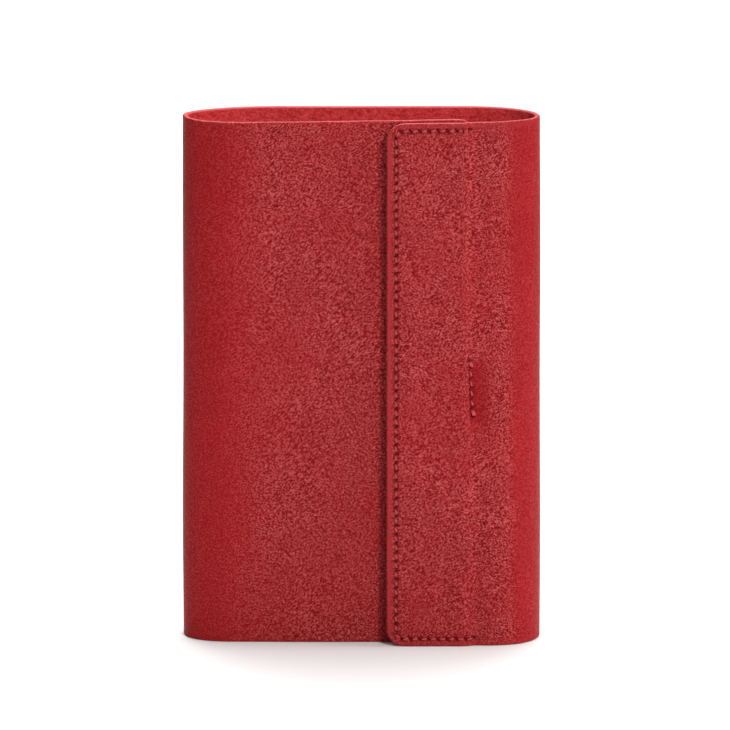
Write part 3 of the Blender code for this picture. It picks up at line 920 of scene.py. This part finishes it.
def seam_relief(seams, band_of, let_in=None):
    """Relief of the hide with the seams through it. band_of gives its smooth band."""
    def relief(s, z):
        depth, dark = sewn(s, z, seams)
        out = lie(s, z) + depth
        inner = lie(s, z) - 0.5 * depth
        if let_in is not None:
            inner = inner - RECESS * recess(s, z, let_in)
        # painted shade in the holes, weaker on the flesh side
        return out, inner, tones(s, dark, band_of(s, z), bend_share(s)), tones(s, 0.6 * dark)
    return relief


DENT_DEPTH = 0.95
DENT_WIDTH = 3.4  # at the tack's top, and as much again at its foot
TACK_LINE = (0.10, 0.9)  # depth and width of the line that the tack presses in
EDGE_PULL = (0.13, 1.9)  # and of the hollow that the flap's seam pulls beside it


def tack_dent(s, z):
    """The tack holds the hide down; from there it swells again towards the fore-edge.

    Gives how deep the dent is and how smooth the stretched leather is there.
    """
    fall = (TACK_MIDDLE + TACK_LENGTH / 2 - z) / TACK_LENGTH  # 1 at the tack's foot
    beyond = TACK_S - s
    slope = eased(1 - beyond / (DENT_WIDTH * (1 + np.clip(fall, 0.0, 1.4))))
    drop = eased(1 + (beyond - 0.5) / 1.3)
    along = eased((fall + 0.12) / 0.30) * eased((1.42 - fall) / 0.45)
    return DENT_DEPTH * slope * drop * along, along * drop * eased(1.3 - beyond / 5.5)


def flap_relief(s, z):
    """The flap, with its sewn edge, the tack and the dent that the tack pulls beside it."""
    out, inner, tone, tone_in = seam_relief([FLAP_SEAM, TACK], flap_band, MAGNET_S)(s, z)
    dent, calm = tack_dent(s, z)
    pressed = TACK_LINE[0] * np.exp(-((s - TACK_S - 0.2) / TACK_LINE[1]) ** 2)
    pulled = EDGE_PULL[0] * np.exp(-((s - TOTAL + SEAM_INSET + 2.4) / EDGE_PULL[1]) ** 2)
    tone[..., 2] = np.maximum(tone[..., 2], calm)
    return out + dent + pressed + pulled, inner + dent, tone, tone_in


def strip_relief(seams, let_in=None):
    """Relief of a suede strip, whose free face is its inner one."""
    def relief(s, z):
        depth, dark = sewn(s, z, seams)
        out = lie(s, z)
        inner = out - 0.7 * depth
        if let_in is not None:
            out = out + RECESS * recess(s, z, let_in)
        # painted shade in the holes on the strip's free face
        return out, inner, tones(s), tones(s, dark)
    return relief


# ---- the wrap

HIDE_EDGE = 0.42  # how far the rounded cut edges stand out
STRIP_EDGE = 0.3
HIDE = [GRAIN, FLESH, EDGE]
FINE = 0.34  # mesh steps: where it is sewn, where it bends, and plain
BENT = 0.4
PLAIN = 1.0
ROW_STEP = 1.5  # plain rows, and closer ones near the top and bottom
EDGE_ROWS = 0.5
STRIP_STEP = 0.8
STRIP_BORDER = 4.0  # width of a strip's fine stretch at each side
FOLD_REACH = 0.6  # how far a back bend goes past its fold line
FOLD_RISE = 0.8
FINE_ROWS = marks(0.0, HEIGHT, FINE) / HEIGHT
EVEN_ROWS = marks(0.0, HEIGHT, ROW_STEP, [(0.0, 3.0, EDGE_ROWS),
                                          (HEIGHT - 3.5, HEIGHT, EDGE_ROWS)]) / HEIGHT


def hide_piece(name, start, end, free, relief, fine, rows=FINE_ROWS):
    """A stretch of the hide from one station to another, free or cut at each end."""
    sheet = Sheet(start, end, *free, 0.0, HEIGHT, CORNER, HIDE_EDGE, PLAIN, fine)
    return leather_piece(name, WRAP, sheet, rows, 0.0, LEATHER, relief, HIDE)


def make_hide():
    """The hide in four closed pieces, each reaching over one fold, in place of the CAD panels on
    either side of it.
    """
    spine_zone = (SPINE_MIDDLE - 14.0, SPINE_MIDDLE + 12.0, BENT)
    fore_zone = (FORE_MIDDLE - 12.0, FORE_MIDDLE + 14.0, BENT)

    front = hide_piece("hide_front", 0.0, SPINE_MIDDLE, (True, False),
                       seam_relief([FACING_SEAM], front_band, KEEPER_S),
                       [(0.0, FACING_WIDTH, FINE), spine_zone])
    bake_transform(front)
    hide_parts("front_panel", "spine_panel")

    spine = hide_piece("hide_spine", SPINE_MIDDLE, BACK_MIDDLE, (False, False),
                       seam_relief([], end_band), [spine_zone], EVEN_ROWS)
    back_fold = joint_mm("cover_opening") + (FOLD_REACH, FOLD_RISE)
    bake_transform(spine)
    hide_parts("spine_panel", "back_panel")

    back = hide_piece("hide_back", BACK_MIDDLE, FORE_MIDDLE, (False, False),
                      seam_relief([POCKET_SEAM_ROW], nowhere),
                      [(POCKET_START, POCKET_END, FINE), fore_zone])
    fore_fold = joint_mm("fore_edge_fold") + (-FOLD_REACH, FOLD_RISE)
    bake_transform(back)
    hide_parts("back_panel", "fore_edge_panel")

    flap = hide_piece("hide_flap", FORE_MIDDLE, TOTAL, (False, True), flap_relief,
                      [(TOTAL - LINING_WIDTH - 1.0, TOTAL, FINE), fore_zone])
    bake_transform(flap)
    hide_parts("flap_panel", "fore_edge_panel")


def stands_for(piece, node, body, slot):
    """The piece rides on a body and is seen in place of a CAD node."""
    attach(piece, body)
    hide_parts(node)


def strip(name, body, start, end, margin, depth, relief, radius=CORNER - GAP):
    """A suede strip laid on the inner side of the hide, replacing its CAD node."""
    sheet = Sheet(start, end, True, True, margin, HEIGHT - margin, radius, STRIP_EDGE, STRIP_STEP,
                  [(start, start + STRIP_BORDER, FINE), (end - STRIP_BORDER, end, FINE)])
    rows = marks(0.0, 1.0, FINE * 1.2 / HEIGHT)
    piece = leather_piece(name, WRAP, sheet, rows, depth, LINING, relief, [STRIP, STRIP, EDGE])
    stands_for(piece, name, body, "lining_leather")


def make_strips():
    """The suede strips: under the flap, inside the front's free end, and the back pocket."""
    strip("flap_lining", "flap", TOTAL - LINING_WIDTH, TOTAL - GAP, GAP, LINING_DEPTH,
          strip_relief([FLAP_SEAM, TACK], MAGNET_S))
    strip("front_facing", "front_cover", GAP, FACING_WIDTH, GAP, LINING_DEPTH,
          strip_relief([FACING_SEAM], KEEPER_S))
    strip("back_pocket", "back_cover", POCKET_START, POCKET_END, POCKET_MARGIN, POCKET_DEPTH,
          strip_relief([POCKET_SEAM_ROW]), radius=1.2)


def make_threads():
    """Each seam's stitches on the grain side and on its strip's inner side."""
    inner = LINING_DEPTH + LINING
    rows = {
        "flap_seam_thread": ("flap", FLAP_SEAM, inner),
        "facing_seam_thread": ("front_cover", FACING_SEAM, inner),
        "pocket_seam_thread": ("back_cover", POCKET_SEAM_ROW, POCKET_DEPTH + LINING),
    }
    for name, (body, seam, inside) in rows.items():
        piece = thread_piece(name, [(seam.stitches, 0.0, -1, SEAM_LIFT),
                                    (seam.stitches, inside, 1, 0.0)])
        stands_for(piece, name, body, "thread")
    ends = [TACK.stitches[0], TACK.stitches[-1]]
    doubled = [(first + DOUBLED_BESIDE, last + DOUBLED_BESIDE - (0.0, 0.1))
               for first, last in ends]
    tack = thread_piece("flap_tack_thread",
                        [(TACK.stitches, 0.0, -1, TACK_LIFT), (doubled, 0.0, -1, DOUBLED_LIFT),
                         (TACK.stitches, inner, 1, 0.0)])
    stands_for(tack, "flap_tack_thread", "flap", "thread")


def make_inlays():
    """The magnets and their keeper plates, let in between the hide and its strips."""
    depth = LINING_DEPTH - GAP / 2 - MAGNET_THICK / 2
    half_s, half_z = MAGNET_SIZE[0] / 2, MAGNET_SIZE[1] / 2
    corner, edge, step = 1.0, 0.15, 1.0
    rows = np.linspace(0.0, 1.0, 21)
    kinds = (("flap_magnet", "flap", MAGNET_S, MAGNET, "magnet"),
             ("keeper_plate", "front_cover", KEEPER_S, KEEPER, "keeper_steel"))
    for kind, body, middle, metal, slot in kinds:
        for place, height in zip(("lower", "upper"), MAGNET_HEIGHTS):
            sheet = Sheet(middle - half_s, middle + half_s, True, True,
                          height - half_z, height + half_z, corner, edge, step)
            piece = leather_piece(f"{kind}_{place}", WRAP, sheet, rows, depth, MAGNET_THICK,
                                  loose_relief(lie), [metal] * 3)
            stands_for(piece, f"{kind}_{place}", body, slot)


# ---- the notebook in the wrap

PAGE_CORNER = 6.0
LEAVES = 8  # in each signature: nested folded sheets
SIGNATURES = 6
FRONT_SIGNATURES = 3
SWELL = 0.1  # paper springs into the clearance on both sides
LEAF_SHARE = 0.88  # of a leaf's pitch; the rest is air
UNEVEN = 0.05  # how far the leaves' edges are out of line
FOLD_ZONE = 1.2  # the fine stretch on each side of a leaf's fold
LEAF_EDGE, ENDPAPER_EDGE, CARD_EDGE = 0.03, 0.08, 0.12


def thin_layer(name, line, low, high, thickness, edge, material, fine=()):
    """A sheet of paper or card that follows a line, between two heights."""
    sheet = Sheet(0.0, line.length, True, True, low, high, PAGE_CORNER, edge, 8.0, fine)
    return leather_piece(name, line, sheet, np.linspace(0.0, 1.0, 3), 0.0, thickness,
                         loose_relief(nowhere), [material] * 3)


def joined(pieces, name):
    """One object from several closed ones."""
    bpy.ops.object.select_all(action="DESELECT")
    for piece in pieces:
        piece.select_set(True)
    bpy.context.view_layer.objects.active = pieces[0]
    bpy.ops.object.join()
    whole = bpy.context.view_layer.objects.active
    whole.name = name
    return whole


def make_signature(number):
    """Nested folded sheets with round folds and slightly uneven fore-edges."""
    name = f"signature_{number}"
    low, high = corners_mm(name)
    front, back = low[1] - SWELL, high[1] + SWELL
    pitch = (back - front) / LEAVES
    middle = (front + back) / 2
    fold = low[0] + (middle - front)
    angles = np.linspace(-math.pi / 2, math.pi / 2, 9)
    sheets = []
    for k in range(LEAVES // 2):
        half = middle - front - k * pitch
        uneven = UNEVEN * (1 + math.sin(2.4 * k + 1.3 * number))
        right = high[0] - uneven
        arc = [(fold - half * math.cos(a), middle + half * math.sin(a)) for a in angles]
        line = Line([(right, middle - half), *arc, (right, middle + half)], step=0.1)
        turn = line.length / 2
        sheets.append(thin_layer(f"{name}_{k}", line, low[2] + uneven, high[2] - uneven / 2,
                                 pitch * LEAF_SHARE, LEAF_EDGE, PAPER,
                                 [(turn - FOLD_ZONE, turn + FOLD_ZONE, 0.2)]))
    body = "front_leaves" if number <= FRONT_SIGNATURES else "back_cover"
    stands_for(joined(sheets, name), name, body, "paper")


def make_endpaper(name, body):
    """The first or last leaf, glued beside its cover."""
    low, high = corners_mm(name)
    line = Line([(high[0], low[1]), (low[0], low[1])], step=1.0)
    piece = thin_layer(name, line, low[2], high[2], high[1] - low[1], ENDPAPER_EDGE, ENDPAPER)
    stands_for(piece, name, body, "paper")


CARD_TURN = 0.9  # the front leaf's bend at the spine
CARD_START = 2.4  # from the spine's back fold line to where the card meets the hide
CARD_STOP = 1.2  # from the pocket's seam to the card's edge


def make_cards():
    """The card cover: the front leaf, and the back leaf that is slipped behind the pocket."""
    low, high = corners_mm("insert_front_cover")
    route = [(high[0], low[1]), (low[0], low[1]), (low[0], high[1])]
    line = Line(rounded(route, CARD_TURN, steps=6), step=0.2)
    front = thin_layer("insert_front_cover", line, low[2], high[2], CARD, CARD_EDGE, CARD_BLACK,
                       [(line.length - 8.0, line.length, 0.4)])
    stands_for(front, "insert_front_cover", "front_leaves", "cover_card")

    low, high = corners_mm("insert_back_cover")
    turn = corners_mm("back_endpaper")[1][1]
    start = WRAP.nearest(joint_mm("cover_opening")) + CARD_START
    stop = POCKET_END - POCKET_SEAM - CARD_STOP
    under = WRAP.place(np.arange(start, stop, 0.5), 0.0, LEATHER + GAP)[:, :2] / MM
    points = [(low[0], low[1]), (low[0], turn), *under]
    line = Line(points, step=0.2, relax=8)
    back = thin_layer("insert_back_cover", line, low[2], high[2], CARD, CARD_EDGE, CARD_BLACK,
                      [(0.0, 40.0, 0.5), (line.length - 40.0, line.length, 1.5)])
    stands_for(back, "insert_back_cover", "back_cover", "cover_card")


# ---- floor, light and camera

CENTRE = (cad_low + cad_high) / 2
FLOOR_HALF = 8.0  # in metres


def make_floor():
    """A pale floor under the standing object."""
    g = Graph("pale_floor")
    place = g.node("NewGeometry", {}, output="Position")
    cloud = g.noise(place, 1.5, 2.0)
    g.set(Base_Color=g.mix(g.ramp(cloud, 0.3, 0.7), *FLOOR_WHITES))
    g.set(Roughness=0.9, Specular_IOR_Level=0.1)
    mesh = bpy.data.meshes.new("floor")
    corners = ((-1, -1), (1, -1), (1, 1), (-1, 1))
    mesh.from_pydata([(x * FLOOR_HALF, y * FLOOR_HALF, cad_low.z) for x, y in corners],
                     [], [(0, 1, 2, 3)])
    mesh.materials.append(g.material)
    new_object("floor", mesh)


def aim(thing, target):
    """Turn a light or camera towards a point."""
    way = target - thing.location
    thing.rotation_euler = way.to_track_quat("-Z", "Y").to_euler()


def soft_box(name, place, size, power):
    """A rectangular light aimed at the object."""
    data = bpy.data.lights.new(name, "AREA")
    data.shape = "RECTANGLE"
    data.size, data.size_y = size
    data.energy = power
    light = new_object(name, data)
    light.location = place
    aim(light, CENTRE)


def make_studio():
    """Three soft boxes and a little light from all round."""
    soft_box("key", (0.80, -1.65, 1.25), (0.45, 0.60), 30.0)
    soft_box("side", (1.90, -0.15, 0.85), (0.70, 1.20), 16.0)
    soft_box("top", (0.0, 0.42, 1.15), (1.0, 1.0), 21.0)
    world = bpy.data.worlds.new("studio")
    world.use_nodes = True
    background = world.node_tree.nodes["Background"]
    background.inputs["Color"].default_value = (1.0, 1.0, 1.0, 1.0)
    background.inputs["Strength"].default_value = 0.12
    bpy.context.scene.world = world
    bpy.context.scene.view_settings.view_transform = "Standard"


def make_camera():
    """Far away with a long lens, a little above, square to the front."""
    distance, elevation, lens = 5.0, math.radians(13.5), 855.0
    across, above = 0.0010, 0.0032  # from the object's middle to the picture's
    back = type(CENTRE)((0.0, -math.cos(elevation), math.sin(elevation)))
    up = type(CENTRE)((0.0, math.sin(elevation), math.cos(elevation)))
    data = bpy.data.cameras.new("camera")
    data.lens = lens
    data.clip_end = 60.0
    camera = new_object("camera", data)
    target = CENTRE + up * above
    target.x += across
    camera.location = target + back * distance
    aim(camera, target)
    bpy.context.scene.camera = camera


make_camera()
make_studio()
make_floor()
make_hide()
make_strips()
make_threads()
make_inlays()
for signature in range(1, SIGNATURES + 1):
    make_signature(signature)
make_endpaper("front_endpaper", "front_leaves")
make_endpaper("back_endpaper", "back_cover")
make_cards()
